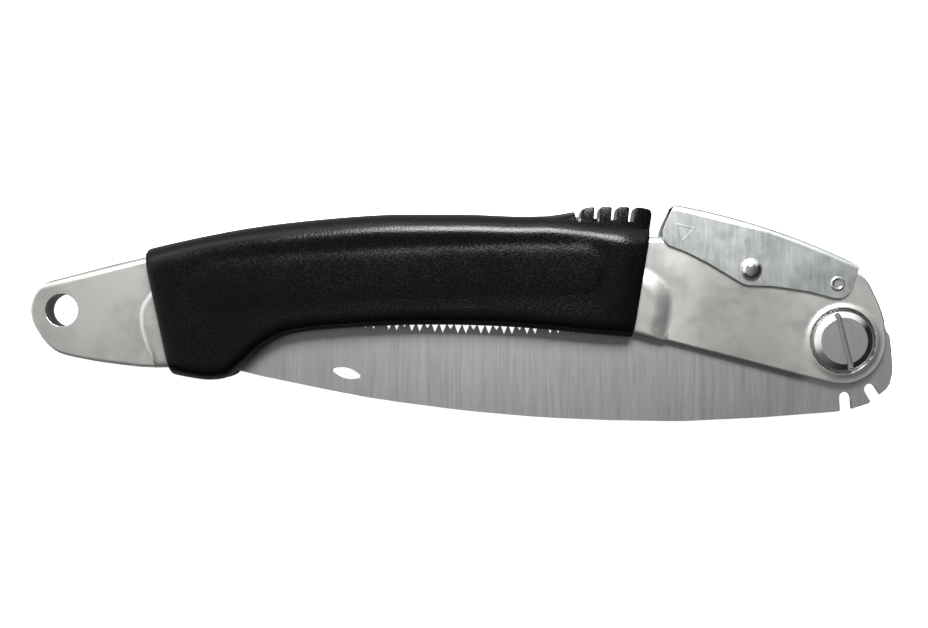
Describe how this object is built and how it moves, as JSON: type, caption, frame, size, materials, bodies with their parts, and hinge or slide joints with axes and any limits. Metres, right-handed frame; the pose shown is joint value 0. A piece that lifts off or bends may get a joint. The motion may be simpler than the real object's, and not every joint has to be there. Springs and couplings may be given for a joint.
{
  "type": "folding pruning saw",
  "caption": "Folding saw for pruning, closed and lying on its side: curved toothed blade, cast handle with a rubber grip, slotted pivot screw, sprung press lever and a lanyard hole.",
  "frame": {"origin": "middle of the bounding box seen from above, on the surface that the closed saw lies on", "axes": "+X along the saw from the lanyard hole to the pivot, +Y across it from the blade's back to the press lever, +Z through its thickness, out of the face with the slotted screw"},
  "size_m": [0.3382, 0.085, 0.023],
  "materials": {
    "cast_alloy": "satin, bead-blasted",
    "plated_sheet": "bright plated, fine grain",
    "polished_steel": "polished",
    "ground_steel": "ground across its length, hard-plated",
    "spring_steel": "oiled",
    "rubber": "matte, leather grain",
    "bronze": "machined"
  },
  "bodies": {
    "handle": {"frame": "cast_alloy", "grip_sleeve": "rubber", "blade_bumper": "rubber", "washer_front": "bronze", "washer_rear": "bronze", "pivot_screw": "polished_steel", "pivot_nut": "plated_sheet", "spring_washer": "spring_steel", "lever_rivet": "polished_steel", "rivet_sleeve": "plated_sheet", "lever_spring": "spring_steel"},
    "blade": {"blade": "ground_steel"},
    "lever": {"lock_lever": "plated_sheet", "lock_pin_front": "polished_steel", "lock_pin_rear": "polished_steel"}
  },
  "joints": [
    {"name": "blade_pivot", "type": "hinge", "parent": "handle", "child": "blade", "pos_m": [0.14851, -0.01081, 0.0115], "axis": [0, 0, 1], "range_deg": [0, 182]},
    {"name": "lock_lever_pivot", "type": "hinge", "parent": "handle", "child": "lever", "pos_m": [0.11231, 0.01709, 0.0115], "axis": [0, 0, 1], "range_deg": [0, 14], "stiffness_Nm_per_rad": 0.9, "springref_deg": -6.88, "deforming": ["lever_spring"]}
  ]
}
